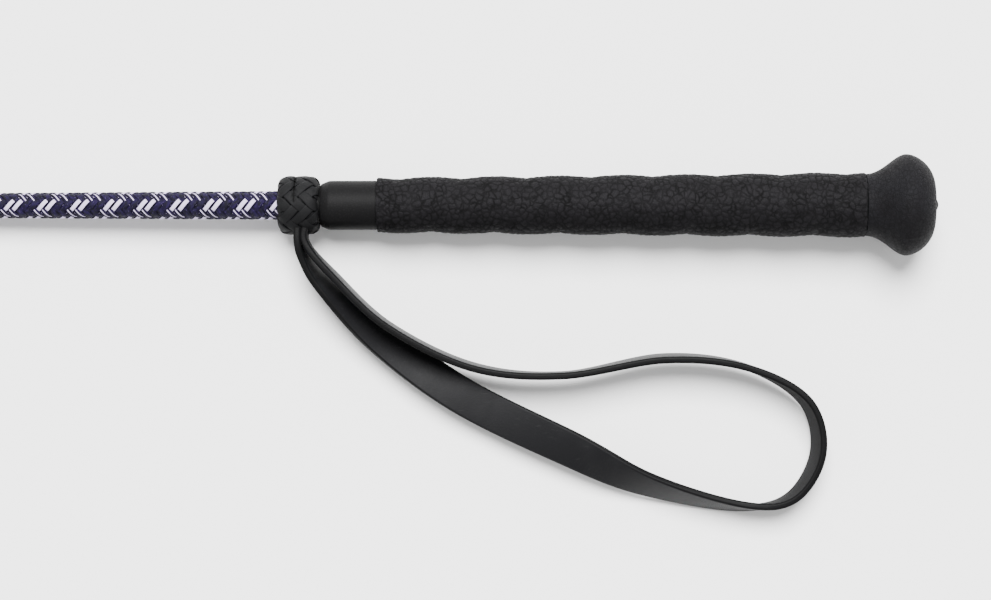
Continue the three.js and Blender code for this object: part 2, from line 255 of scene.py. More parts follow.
class Growth(Graph):
    """A geometry tree with named inputs, which is run once for each piece."""

    KINDS = {float: "NodeSocketFloat", int: "NodeSocketInt"}

    def __init__(self, name: str, **inputs: float | int) -> None:
        """Makes a tree whose named inputs have these first values."""
        tree = bpy.data.node_groups.new(name, "GeometryNodeTree")
        for way in ("INPUT", "OUTPUT"):
            tree.interface.new_socket("Geometry", in_out=way, socket_type="NodeSocketGeometry")
        tree.interface.new_socket("Finish", in_out="INPUT", socket_type="NodeSocketMaterial")
        for label, value in inputs.items():
            socket = tree.interface.new_socket(
                label, in_out="INPUT", socket_type=self.KINDS[type(value)])
            socket.default_value = value
        super().__init__(tree)
        self.entry = tree.nodes.new("NodeGroupInput")

    def given(self, label: str) -> Wire:
        """Gives one of the tree's inputs."""
        return Wire(self, self.entry, self.entry.outputs[label])

    def position(self) -> Wire:
        """Gives each point's place."""
        return self.node("GeometryNodeInputPosition")

    def store(self, geometry: Wire, name: str, value: Wire) -> Wire:
        """Keeps a value at each point for the finish to read."""
        return self.node(
            "GeometryNodeStoreNamedAttribute", {"data_type": "FLOAT", "domain": "POINT"},
            {"Geometry": geometry, "Name": name, "Value": value})

    def read(self, name: str, kind: str = "FLOAT") -> Wire:
        """Reads a value that the starting mesh holds."""
        return self.node("GeometryNodeInputNamedAttribute", {"data_type": kind}, {"Name": name})

    def push(self, geometry: Wire, offset: Wire) -> Wire:
        """Moves each point by a vector."""
        return self.node(
            "GeometryNodeSetPosition", None, {"Geometry": geometry, "Offset": offset})

    def facing(self, curve: Wire, normal: Wire) -> Wire:
        """Sets which way a curve's normals point."""
        return self.node(
            "GeometryNodeSetCurveNormal", {"mode": "FREE"}, {"Curve": curve, "Normal": normal})

    def sweep(self, curve: Wire, profile: Wire, size: object = 1.0) -> Wire:
        """Sweeps a closed profile along a curve, whose normal is the profile's X."""
        return self.node(
            "GeometryNodeCurveToMesh", None,
            {"Curve": curve, "Profile Curve": profile, "Scale": size, "Fill Caps": True})

    def oval(self, flatness: object, sides: object, roundness: object = 1.0) -> Wire:
        """Makes an oval profile one unit wide each way from its middle.

        Args:
            flatness: Its height as a share of its width.
            sides: Its number of sides.
            roundness: 1 for an oval, less for flat faces with rounded edges.

        Returns:
            The profile, which keeps how far across it each point is, from -1 to 1.
        """
        circle = self.node("GeometryNodeCurvePrimitiveCircle", None, {"Resolution": sides})
        rise, across, _ = self.parts(self.position())
        power = roundness - 1.0
        rise = rise * (abs(rise) + 0.001) ** power * flatness
        across = across * (abs(across) + 0.001) ** power
        shaped = self.node(
            "GeometryNodeSetPosition", None,
            {"Geometry": circle, "Position": self.vector(rise, across, 0.0)})
        return self.store(shaped, "across", self.parts(self.position())[1])

    def close(self, geometry: Wire) -> None:
        """Ends the tree."""
        real = self.node("GeometryNodeRealizeInstances", None, {"Geometry": geometry})
        dressed = self.node(
            "GeometryNodeSetMaterial", None,
            {"Geometry": real, "Material": self.given("Finish")})
        exit_node = self.tree.nodes.new("NodeGroupOutput")
        self.tree.links.new(dressed.socket, exit_node.inputs[0])

    def grow(
        self, piece: bpy.types.Object, finish: bpy.types.Material, **values: float | int
    ) -> bpy.types.Object:
        """Runs the tree on a piece and keeps the result as its plain mesh.

        Args:
            piece: The piece whose mesh the tree starts from.
            finish: The material of the result.
            **values: The tree's named inputs.

        Returns:
            The same piece, with its new mesh.
        """
        modifier = piece.modifiers.new(self.tree.name, "NODES")
        modifier.node_group = self.tree
        settings = {"Finish": finish, **values}
        for socket in self.tree.interface.items_tree:
            if socket.in_out == "INPUT" and socket.name in settings:
                modifier[socket.identifier] = settings[socket.name]
        depsgraph = bpy.context.evaluated_depsgraph_get()
        mesh = bpy.data.meshes.new_from_object(
            piece.evaluated_get(depsgraph), preserve_all_data_layers=True, depsgraph=depsgraph)
        piece.modifiers.clear()
        piece.data = mesh
        for face in mesh.polygons:
            face.use_smooth = True
        return piece


# ---------------------------------------------------------------- meshes


def new_piece(
    name: str,
    points: Sequence[Vector],
    faces: Sequence[Sequence[int]] = (),
    edges: Sequence[Sequence[int]] = (),
    finish: bpy.types.Material | None = None,
) -> bpy.types.Object:
    """Makes a mesh object at the origin.

    Args:
        name: The piece's name.
        points: Its vertices.
        faces: Its faces.
        edges: Its edges, where it is only a line.
        finish: Its material.

    Returns:
        The object, linked to the scene.
    """
    mesh = bpy.data.meshes.new(name)
    mesh.from_pydata([tuple(point) for point in points], edges, faces)
    for face in mesh.polygons:
        face.use_smooth = True
    if finish is not None:
        mesh.materials.append(finish)
    made = bpy.data.objects.new(name, mesh)
    bpy.context.scene.collection.objects.link(made)
    return made


def close_shell(piece: bpy.types.Object, degrees: float = 35.0) -> bpy.types.Object:
    """Merges doubled points, turns faces outwards and keeps edges past an angle crisp."""
    limit = math.radians(degrees)
    work = bmesh.new()
    work.from_mesh(piece.data)
    bmesh.ops.remove_doubles(work, verts=work.verts, dist=0.001 * MM)
    bmesh.ops.recalc_face_normals(work, faces=work.faces)
    work.normal_update()
    for edge in work.edges:
        edge.smooth = len(edge.link_faces) != 2 or edge.calc_face_angle() < limit
    work.to_mesh(piece.data)
    work.free()
    return piece


def bezier(start: Point, leave: Point, arrive: Point, end: Point, steps: int) -> list[Point]:
    """Gives points on a cubic curve, without its first point."""
    points = []
    for i in range(1, steps + 1):
        t = i / steps
        weights = ((1 - t) ** 3, 3 * t * (1 - t) ** 2, 3 * t * t * (1 - t), t ** 3)
        points.append(tuple(
            sum(w * p[k] for w, p in zip(weights, (start, leave, arrive, end)))
            for k in range(2)))
    return points


def packed_points(node: str) -> list[Vector]:
    """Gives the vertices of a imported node."""
    return [vertex.co.copy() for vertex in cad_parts[node].data.vertices]


def ease(value: float) -> float:
    """Goes smoothly from 0 to 1 as the value does."""
    share = min(max(value, 0.0), 1.0)
    return share * share * (3.0 - 2.0 * share)


@dataclass(frozen=True)
class ShaftAxis:
    """The line down the middle of the rod, with stations counted from the tube's front."""

    origin: Vector
    direction: Vector

    @classmethod
    def from_frame(cls) -> "ShaftAxis":
        """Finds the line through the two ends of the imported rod."""
        rod = packed_points("core_rod")
        ends = []
        for limit in (min(p.x for p in rod), max(p.x for p in rod)):
            near = [p for p in rod if abs(p.x - limit) < MM]
            ends.append(sum(near, Vector()) / len(near))
        direction = (ends[1] - ends[0]).normalized()
        front = min((p - ends[0]).dot(direction) for p in packed_points("handle_tube"))
        return cls(ends[0] + direction * front, direction)

    def matrix(self) -> Matrix:
        """Carries shaft coordinates to the frame."""
        side = Vector((0.0, 1.0, 0.0))
        up = self.direction.cross(side)
        columns = (self.direction, side, up, self.origin)
        rows = [[column[row] for column in columns] for row in range(3)]
        return Matrix([*rows, [0.0, 0.0, 0.0, 1.0]])

    def span(self, node: str) -> tuple[float, float]:
        """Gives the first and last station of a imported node."""
        stations = [self.station_of(point) for point in packed_points(node)]
        return min(stations), max(stations)

    def reach(self, node: str) -> float:
        """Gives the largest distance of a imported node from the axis."""
        return max(self.radius_of(point) for point in packed_points(node))

    def station_of(self, point: Vector) -> float:
        """Gives a point's station along the axis."""
        return (point - self.origin).dot(self.direction)

    def radius_of(self, point: Vector) -> float:
        """Gives a point's distance from the axis."""
        return (point - self.origin - self.direction * self.station_of(point)).length

    def end_radii(self, node: str) -> tuple[float, float]:
        """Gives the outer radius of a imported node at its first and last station."""
        near = 0.1 * MM
        first, last = (
            max(self.radius_of(point) for point in packed_points(node)
                if abs(self.station_of(point) - limit) < near)
            for limit in self.span(node))
        return first, last

    def settle(self, piece: bpy.types.Object) -> bpy.types.Object:
        """Carries a piece from shaft coordinates into the frame."""
        piece.data.transform(self.matrix())
        piece.data.update()
        return piece

    def carry(self, piece: bpy.types.Object) -> None:
        """Moves a piece drawn level with the table, from the shaft's stations to its place."""
        piece.data.transform(Matrix.Translation((self.origin.x, self.origin.y, 0.0)))


def turned(
    name: str,
    profile: Sequence[Point],
    segments: int,
    finish: bpy.types.Material,
    relief: Callable[[float, float], float] | None = None,
    bore: float = 0.0,
) -> bpy.types.Object:
    """Turns a closed profile of (station, radius) points about the shaft axis.

    Args:
        name: The piece's name.
        profile: The profile, which joins its last point to its first.
        segments: The number of steps round the axis.
        finish: Its material.
        relief: Extra radius of the outside at a station and an angle from +Y towards +Z.
        bore: The radius of a straight bore, which closes a profile of the outside alone.

    Returns:
        The closed piece, in shaft coordinates.
    """
    inside = [(profile[-1][0], bore), (profile[0][0], bore)] if bore else []
    profile = [*profile, *inside]
    hollow = min(radius for _, radius in profile) + THIN_WALL
    rings = len(profile)
    points = []
    for i in range(segments):
        angle = 2 * math.pi * i / segments
        for station, radius in profile:
            extra = relief(station, angle) if relief and radius > hollow else 0.0
            full = radius + extra
            points.append(Vector((station, full * math.cos(angle), full * math.sin(angle))))
    faces = []
    for i in range(segments):
        here = i * rings
        there = (i + 1) % segments * rings
        for j in range(rings):
            k = (j + 1) % rings
            if profile[j][1] > 0 or profile[k][1] > 0:
                faces.append((here + j, here + k, there + k, there + j))
    piece = new_piece(name, points, faces, finish=finish)
    return close_shell(piece)


# ---------------------------------------------------------------- finishes


@dataclass(frozen=True)
class BraidYarn:
    """Flat braided yarn: navy strands with light flecks, some white, some with a white tracer."""

    navy: Colour = (0.0075, 0.0032, 0.027, 1.0)
    # A darker navy, mixed in at random, and also the painted shade at the strands' edges.
    shade: Colour = (0.0018, 0.0012, 0.006, 1.0)
    # Light flecks on the navy, and also the painted shade in the grooves between the white yarns.
    fleck_and_groove_shade: Colour = (0.050, 0.034, 0.105, 1.0)
    white: Colour = (0.60, 0.53, 0.74, 1.0)
    bar_width: float = 0.66
    ridges: float = 3.0
    relief: float = 0.12 * MM

    def material(self) -> bpy.types.Material:
        """Builds the finish."""
        paint = Paint("braid_yarn")
        across = paint.attribute("across")
        along = paint.attribute("along")
        strand = paint.attribute("strand")
        patterned = paint.attribute("patterned")
        lane = paint.vector(along / MM, across * 1.3, strand * 7.31 + self.bar_width)
        speckle = paint.noise(lane, 0.42, 2.0).ramp(0.60, 0.72)
        mottle = paint.noise(lane, 1.4, 2.0)
        yarns = abs((across * self.ridges * math.pi).sine())
        navy = paint.mix(mottle.ramp(0.35, 0.7), self.shade, self.navy)
        navy = paint.mix(speckle * 0.6, navy, self.fleck_and_groove_shade)
        bar = abs(across).ramp(self.bar_width - 0.1, self.bar_width, 1.0, 0.0)
        white_share = patterned * bar
        # Painted shade: the white yarns darker in the grooves between their ridges.
        white = paint.mix(yarns.ramp(0.0, 0.35, 0.45, 0.0), self.white, self.fleck_and_groove_shade)
        colour = paint.mix(white_share, navy, white)
        # Painted shade: each strand darker towards its edges, where it dips under and meets its
        # neighbours.
        colour = paint.mix(abs(across).ramp(0.80, 1.0, 0.0, 0.75), colour, self.shade)
        fibre = paint.noise(paint.vector(along / MM, across * 9.0, strand), 0.5, 2.0)
        height = yarns.ramp(0.0, 0.8) * 0.75 + fibre * 0.25
        return paint.finish(
            base_color=colour, roughness=0.62 + mottle * 0.2, specular_ior_level=0.15,
            normal=paint.bump(height, self.relief))


@dataclass(frozen=True)
class PebbledRubber:
    """Black moulded rubber, with rounded pebbles and painted shade in the creases between them."""

    name: str = "pebbled_rubber"
    # How strongly the creases are darkened with painted shade.
    strength: float = 1.0
    cell: float = 2.3 * MM
    crest: Colour = grey(0.0075, 1.06, 1.12)
    # Painted shade: the colour mixed into the creases between pebbles.
    crease: Colour = grey(0.0025)
    hollow: Colour = grey(0.006, 1.06, 1.12)
    cloud: float = 9.0 * MM
    patch: float = 5.0 * MM
    grain: float = 0.35 * MM
    relief: float = 0.10 * MM

    def material(self) -> bpy.types.Material:
        """Builds the finish."""
        paint = Paint(self.name)
        place = paint.place()
        edge = paint.creases(paint.warped(place, self.cell, 0.5), self.cell)
        small = self.cell * 0.4
        fine = paint.creases(paint.warped(place, small, 0.5), small)
        cloud = paint.noise(place, self.cloud, 4.0)
        grain = paint.noise(place, self.grain, 3.0, 0.6)
        patches = paint.noise(place, self.patch, 3.0).ramp(0.35, 0.65, 0.55, 1.0)
        # Painted shade: darker in the creases between pebbles, more so in random patches, and in
        # the finer creases.
        shade = edge.ramp(0.0, 0.22, 0.8 * self.strength, 0.0) * patches
        shade = shade + fine.ramp(0.0, 0.15, 0.2, 0.0)
        tone = paint.mix(cloud.ramp(0.3, 0.7), self.crest, self.hollow)
        colour = paint.mix(shade, tone, self.crease)
        height = fine.ramp(0.0, 0.3) * 0.5 + grain * 0.5
        return paint.finish(
            base_color=colour, roughness=0.52 + shade * 0.3 + grain * 0.08,
            specular_ior_level=0.04, normal=paint.bump(height, self.relief))


@dataclass(frozen=True)
class MouldedPlastic:
    """Black moulded plastic, almost smooth, with a fine skin grain."""

    colour: Colour = grey(0.006, 1.02, 1.05)
    roughness: float = 0.55
    grain: float = 0.9 * MM
    cloud: float = 12.0 * MM
    relief: float = 0.018 * MM

    def material(self) -> bpy.types.Material:
        """Builds the finish."""
        paint = Paint("tube_plastic")
        place = paint.place()
        skin = paint.creases(place, self.grain).ramp(0.0, 0.35)
        grit = paint.noise(place, self.grain * 0.6, 3.0, 0.6)
        cloud = paint.noise(place, self.cloud, 3.0)
        # Painted shade: darker in the creases of the skin grain, and darker at random in soft
        # clouds.
        grain_shade_and_cloud = tuple(0.55 * value for value in self.colour[:3]) + (1.0,)
        colour = paint.mix(skin.ramp(0.0, 1.0, 0.5, 0.0) + cloud * 0.25, self.colour, grain_shade_and_cloud)
        return paint.finish(
            base_color=colour, roughness=self.roughness + (cloud - 0.5) * 0.14,
            specular_ior_level=0.05, normal=paint.bump(skin * 0.6 + grit * 0.4, self.relief))


@dataclass(frozen=True)
class StrapLeather:
    """Smooth black leather with fine pores and light scratches, and a duller inner side."""

    name: str
    face: Colour = grey(0.0066, 1.0, 1.1)
    worn: Colour = grey(0.018, 0.99, 1.02)
    flesh: Colour = grey(0.004, 1.0, 1.1)
    edge: Colour = grey(0.0015)
    roughness: float = 0.40
    pore: float = 0.55 * MM
    grain: float = 1.6 * MM
    cloud: float = 14.0 * MM
    scratch: float = 0.9 * MM
    relief: float = 0.05 * MM

    def material(self) -> bpy.types.Material:
        """Builds the finish."""
        paint = Paint(self.name)
        place = paint.place()
        pores = paint.creases(place, self.pore).ramp(0.0, 0.3)
        cloud = paint.noise(place, self.cloud, 4.0)
        stretched = paint.node(
            "ShaderNodeMapping", None,
            {"Vector": place, "Rotation": (0.3, 0.2, -0.5), "Scale": (0.10, 1.0, 1.0)})
        scratches = paint.noise(stretched, self.scratch, 2.0).ramp(0.66, 0.74)
        grain = paint.noise(place, self.grain, 5.0, 0.6)
        wear = scratches * 0.30 + cloud.ramp(0.5, 0.8) * 0.20
        colour = paint.mix(wear, self.face, self.worn)
        inside = paint.attribute("side").ramp(0.6, 0.9)
        colour = paint.mix(inside, colour, self.flesh)
        edge = abs(paint.attribute("across")).ramp(0.90, 0.97)
        colour = paint.mix(edge * 0.7, colour, self.edge)
        height = pores * 0.45 + grain * 0.55
        return paint.finish(
            base_color=colour, roughness=self.roughness + cloud * 0.16 + inside * 0.25,
            specular_ior_level=0.06, normal=paint.bump(height, self.relief))


@dataclass(frozen=True)
class KnotLeather:
    """Flat leather lace: smooth crown, painted shade on its sides and in its one slit, faint
    stretch marks.
    """

    axis: ShaftAxis
    slit_station: float
    crown: Colour = grey(0.0065, 0.99, 1.06)
    stretched: Colour = grey(0.010)
    # Painted shade on the lace's sides, where they sink between the next laces.
    side: Colour = grey(0.002, 1.0, 1.2)
    # Painted shade in the slit where the lace's ends meet.
    gap: Colour = grey(0.0006)
    pore: float = 0.5 * MM
    relief: float = 0.05 * MM

    def slit(self, paint: Paint) -> Wire:
        """Gives 1 along the short slit across the shaft where the lace's ends meet."""
        offset = paint.moved(paint.place(), tuple(-self.axis.origin))
        station = paint.dot(offset, tuple(self.axis.direction))
        near = abs(station - self.slit_station).ramp(SLIT_HALF, 1.8 * SLIT_HALF, 1.0, 0.0)
        across = paint.parts(offset)[1]
        return near * across.ramp(0.5 * MM, 1.2 * MM)

    def material(self) -> bpy.types.Material:
        """Builds the finish."""
        paint = Paint("knot_lace")
        across = paint.attribute("across")
        along = paint.attribute("along")
        strand = paint.attribute("strand")
        lane = paint.vector(along * 120.0, across * 1.5, strand * 3.1)
        marks = paint.noise(lane, 0.35, 3.0)
        crown = paint.mix(marks.ramp(0.4, 0.75, 0.0, 0.35), self.crown, self.stretched)
        # Painted shade: the lace darker towards its sides.
        colour = paint.mix(abs(across).ramp(0.82, 1.0), crown, self.side)
        # Painted shade: almost black along the slit.
        colour = paint.mix(self.slit(paint), colour, self.gap)
        pores = paint.creases(paint.place(), self.pore).ramp(0.0, 0.3)
        return paint.finish(
            base_color=colour, roughness=0.5 + marks * 0.15, specular_ior_level=0.05,
            normal=paint.bump(pores * 0.5 + marks * 0.5, self.relief))


@dataclass(frozen=True)
class WaxedThread:
    """Black twisted thread with a dull wax shine."""

    colour: Colour = grey(0.012)
    worn: Colour = grey(0.035)
    fibre: float = 0.3 * MM
    relief: float = 0.08 * MM

    def material(self) -> bpy.types.Material:
        """Builds the finish."""
        paint = Paint("waxed_thread")
        twist = paint.noise(paint.place(), self.fibre, 2.0)
        colour = paint.mix(twist.ramp(0.4, 0.7), self.colour, self.worn)
        return paint.finish(
            base_color=colour, roughness=0.5 + twist * 0.2, specular_ior_level=0.1,
            normal=paint.bump(twist, self.relief))


@dataclass(frozen=True)
class DrawnFibre:
    """A straight-grained material, such as ash wood or glass-fibre rod."""

    name: str
    light: Colour
    dark: Colour
    roughness: float
    line: float = 0.5 * MM
    relief: float = 0.04 * MM

    def material(self) -> bpy.types.Material:
        """Builds the finish."""
        paint = Paint(self.name)
        stretched = paint.node(
            "ShaderNodeMapping", None, {"Vector": paint.place(), "Scale": (0.05, 1.0, 1.0)})
        lines = paint.noise(stretched, self.line, 3.0)
        return paint.finish(
            base_color=paint.mix(lines.ramp(0.35, 0.7), self.light, self.dark),
            roughness=self.roughness + lines * 0.1, specular_ior_level=0.06,
            normal=paint.bump(lines, self.relief))


# ---------------------------------------------------------------- geometry trees


class Hand(Enum):
    """Which way round the shaft a set of strands winds as it nears the butt."""

    RISING = -1.0
    FALLING = 1.0


def strand_tree() -> Growth:
    """Makes the tree that winds one set of woven strands round a tapered or barrelled core.

    A strand goes over two and under two of the other set, so its floats lie in rows.

    Returns:
        The tree, which works in shaft coordinates and doesn't use its input geometry.
    """
    tree = Growth(
        "woven_strands", Strands=8, Points=100, Sides=8, Start=0.0, Length=1.0, Pitch=0.1,
        Phase=0.0, Facing=0.0, Hand=1.0, StartRadius=0.005, EndRadius=0.005, Bulge=0.0,
        Crowding=0.0, Coverage=0.9, Flatness=0.2, Wave=0.3, Wander=0.0, Shift=0.0,
        Roundness=1.0, SlitStation=0.0, SlitDepth=0.0)
    strands = tree.given("Strands")
    hand = tree.given("Hand")
    pitch = tree.given("Pitch")
    facing = tree.given("Facing")
    line = tree.node("GeometryNodeCurvePrimitiveLine")
    line = tree.node(
        "GeometryNodeResampleCurve", None, {"Curve": line, "Count": tree.given("Points")})
    copies = tree.node(
        "GeometryNodeDuplicateElements", {"domain": "SPLINE"},
        {"Geometry": line, "Amount": strands})
    index = copies.other("Duplicate Index")
    step = tree.node("GeometryNodeSplineParameter", output="Index")
    share = step / (tree.given("Points") - 1.0)
    even = share * 2.0 - 1.0
    crowded = 0.0 - (share * math.pi).cosine()
    end_on = even + (crowded - even) * tree.given("Crowding")
    half = (end_on + 1.0) * 0.5
    station = tree.given("Start") + half * tree.given("Length")
    squareness = 6.0
    dome = (1.0 - abs(end_on) ** squareness) ** 0.5
    taper = tree.given("EndRadius") - tree.given("StartRadius")
    radius = tree.given("StartRadius") + half * taper + tree.given("Bulge") * dome
    lead = pitch / (2 * math.pi)
    wander = tree.node(
        "ShaderNodeTexNoise", None,
        {"Vector": tree.vector(share * 3.0, index * 7.3, hand * 5.0), "Scale": 1.0})
    turns = (station - tree.given("Phase")) / pitch - index / strands
    angle = facing - (math.pi / 2) / strands + hand * turns * (2 * math.pi)
    angle = angle + (wander - 0.5) * tree.given("Wander")
    slant = radius / (radius * radius + lead * lead) ** 0.5
    width = tree.given("Coverage") * 0.5 * pitch / strands * slant
    ride = (strands * 0.5 * (angle - facing)).cosine() * hand * tree.given("Wave") * width
    steepness = abs(end_on) ** (squareness - 2.0)
    lean = tree.given("Bulge") * squareness * end_on * steepness / tree.given("Length")
    out = dome + 0.02
    normal = tree.node(
        "ShaderNodeVectorMath", {"operation": "NORMALIZE"},
        {0: tree.vector(lean, out * angle.cosine(), out * angle.sine())})
    core = tree.vector(station, radius * angle.cosine(), radius * angle.sine())
    place = tree.moved(core, tree.scaled(normal, 0.0 - ride))
    curves = tree.node("GeometryNodeSetPosition", None, {"Geometry": copies, "Position": place})
    curves = tree.facing(curves, normal)
    curves = tree.store(curves, "along", station)
    curves = tree.store(curves, "strand", index + 0.0)
    curves = tree.store(curves, "patterned", ((index + tree.given("Shift")) % 4.0) < 1.5)
    profile = tree.oval(tree.given("Flatness"), tree.given("Sides"), tree.given("Roundness"))
    laces = tree.sweep(curves, profile, width)
    along, across, up = tree.parts(tree.position())
    turned_to = tree.node("ShaderNodeMath", {"operation": "ARCTAN2"}, {0: up, 1: across})
    slit_middle = math.radians(40)
    slit_reach = 0.8
    slit = abs(along - tree.given("SlitStation")).ramp(SLIT_HALF, 2.5 * SLIT_HALF, 1.0, 0.0)
    slit = slit * abs(turned_to - slit_middle).ramp(slit_reach, slit_reach + 0.1, 1.0, 0.0)
    sunk = tree.scaled(tree.node("GeometryNodeInputNormal"), slit * tree.given("SlitDepth"))
    tree.close(tree.push(laces, tree.scaled(sunk, -1.0)))
    return tree


def ribbon_tree() -> Growth:
    """Makes the tree that turns a line of points into a flat strap with rounded edges.

    Returns:
        The tree, whose input is a line with a facing vector at each point.
    """
    tree = Growth("strap_ribbon", Width=0.013, Thickness=0.002, EdgeRadius=0.0008)
    curve = tree.node("GeometryNodeMeshToCurve", None, {"Mesh": tree.given("Geometry")})
    curve = tree.facing(curve, tree.read("facing", "FLOAT_VECTOR"))
    section = tree.node(
        "GeometryNodeCurvePrimitiveQuadrilateral", {"mode": "RECTANGLE"},
        {"Width": tree.given("Thickness"), "Height": tree.given("Width")})
    section = tree.node(
        "GeometryNodeFilletCurve", {"mode": "POLY"},
        {"Curve": section, "Count": 5, "Radius": tree.given("EdgeRadius")})
    for name, size, index in (("across", "Width", 1), ("side", "Thickness", 0)):
        share = tree.parts(tree.position())[index] / (tree.given(size) * 0.5)
        section = tree.store(section, name, share)
    tree.close(tree.sweep(curve, section))
    return tree


def pebble_tree() -> Growth:
    """Makes the tree that presses creases between pebbles into a skin.

    Returns:
        The tree, which sinks the points that have a skin value of 1.
    """
    tree = Growth("pebbles", Cell=0.0027, Depth=0.0002)
    cell = tree.given("Cell")
    place = tree.warped(tree.position(), cell, 0.5)
    crease = tree.creases(place, cell).ramp(0.0, 0.34, 1.0, 0.0)
    depth = crease * tree.read("skin") * tree.given("Depth")
    sink = tree.scaled(tree.node("GeometryNodeInputNormal"), depth * -1.0)
    tree.close(tree.push(tree.given("Geometry"), sink))
    return tree


def coil_tree() -> Growth:
    """Makes the tree that winds a round thread into a close coil along the shaft.

    Returns:
        The tree, which works in shaft coordinates and doesn't use its input geometry.
    """
    tree = Growth("thread_coil", Start=0.0, Length=0.01, Radius=0.004, Thread=0.0003, Turns=20.0)
    spiral = tree.node(
        "GeometryNodeCurveSpiral", None,
        {"Resolution": 32, "Rotations": tree.given("Turns"), "Start Radius": tree.given("Radius"),
         "End Radius": tree.given("Radius"), "Height": tree.given("Length")})
    laid = tree.node(
        "GeometryNodeTransform", None,
        {"Geometry": spiral, "Rotation": (0.0, math.pi / 2, 0.0),
         "Translation": tree.vector(tree.given("Start"), 0.0, 0.0)})
    tree.close(tree.sweep(laid, tree.oval(1.0, 8), tree.given("Thread")))
    return tree


def stitch_tree() -> Growth:
    """Makes the tree that lays a short sunk stitch at each point of a line.

    Returns:
        The tree, whose input is a line of stitch middles with their directions.
    """
    tree = Growth("stitches", Length=0.0026, Thread=0.0003)
    line = tree.node(
        "GeometryNodeCurvePrimitiveLine", None,
        {"Start": tree.vector(tree.given("Length") * -0.5, 0.0, 0.0),
         "End": tree.vector(tree.given("Length") * 0.5, 0.0, 0.0)})
    line = tree.node("GeometryNodeResampleCurve", None, {"Curve": line, "Count": 7})
    step = tree.node("GeometryNodeSplineParameter", output="Factor")
    arch = (step * math.pi).sine()
    sunk = 0.75
    line = tree.push(line, tree.vector(0.0, 0.0, (arch - sunk) * tree.given("Thread")))
    stitch = tree.sweep(line, tree.oval(1.0, 6), tree.given("Thread"))
    turn = tree.node(
        "FunctionNodeAlignRotationToVector", {"axis": "X", "pivot_axis": "Z"},
        {"Vector": tree.read("heading", "FLOAT_VECTOR")})
    laid = tree.node(
        "GeometryNodeInstanceOnPoints", None,
        {"Points": tree.given("Geometry"), "Instance": stitch, "Rotation": turn})
    tree.close(laid)
    return tree


# ---------------------------------------------------------------- sub-assemblies


def hand_over(
    piece: bpy.types.Object, body: str, slot: str, replaced: Sequence[str] = ()
) -> None:
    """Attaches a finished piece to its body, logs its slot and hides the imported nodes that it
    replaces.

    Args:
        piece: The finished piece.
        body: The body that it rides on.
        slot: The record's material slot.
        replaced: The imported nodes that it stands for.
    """
    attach(piece, body)
    declare(piece, slot, replaced)


def write_vectors(piece: bpy.types.Object, name: str, vectors: Sequence[Vector]) -> None:
    """Keeps one vector at each of a piece's points, for a tree to read."""
    store = piece.data.attributes.new(name, "FLOAT_VECTOR", "POINT")
    for vector, item in zip(vectors, store.data):
        item.vector = vector


def declare(piece: bpy.types.Object, slot: str, replaced: Sequence[str]) -> None:
    """Hides the imported nodes that a piece replaces, and logs the piece with its slot."""
    if replaced:
        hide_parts(*replaced)
    log.info("%s: %d faces, slot %s", piece.name, len(piece.data.polygons), slot)


@dataclass
class BraidedCover:
    """The braided yarn over the rod, in two sets of eight strands."""

    axis: ShaftAxis
    weave: Growth
    strands: int = 8
    pitch: float = 23.7 * MM
    phase: float = -0.35 * MM
    depth: float = 0.35 * MM
    flatness: float = 0.23
    wave: float = 0.29
    lining_depth: float = 0.78 * MM
    lining_wall: float = 0.1 * MM

    def build(self) -> None:
        """Winds both sets of strands, and the dark lining that closes the gaps."""
        start, end = self.axis.span("braided_cover")
        front, back = self.axis.end_radii("braided_cover")
        for hand, shift in ((Hand.RISING, 1.0), (Hand.FALLING, 3.0)):
            yarn = BraidYarn(bar_width=0.66 if hand is Hand.RISING else 0.21).material()
            piece = new_piece(f"braid_{hand.name.lower()}", [])
            self.weave.grow(
                piece, yarn, Strands=self.strands, Points=600, Sides=10, Start=start,
                Length=end - start, Pitch=self.pitch, Phase=self.phase, Facing=math.pi / 2,
                Hand=hand.value, StartRadius=front - self.depth, EndRadius=back - self.depth,
                Coverage=1.0, Flatness=self.flatness, Wave=self.wave, Wander=0.05, Shift=shift)
            self.axis.settle(piece)
            replaced = ("braided_cover",) if hand is Hand.RISING else ()
            hand_over(piece, "crop", "braid", replaced)
        outer = self.lining_depth
        inner = outer + self.lining_wall
        section = [
            (start, front - inner), (start, front - outer), (end, back - outer),
            (end, back - inner)]
        yarn = WaxedThread(grey(0.008, 1.0, 2.0)).material()
        lining = turned("braid_lining", section, 48, yarn)
        hand_over(self.axis.settle(lining), "crop", "braid")


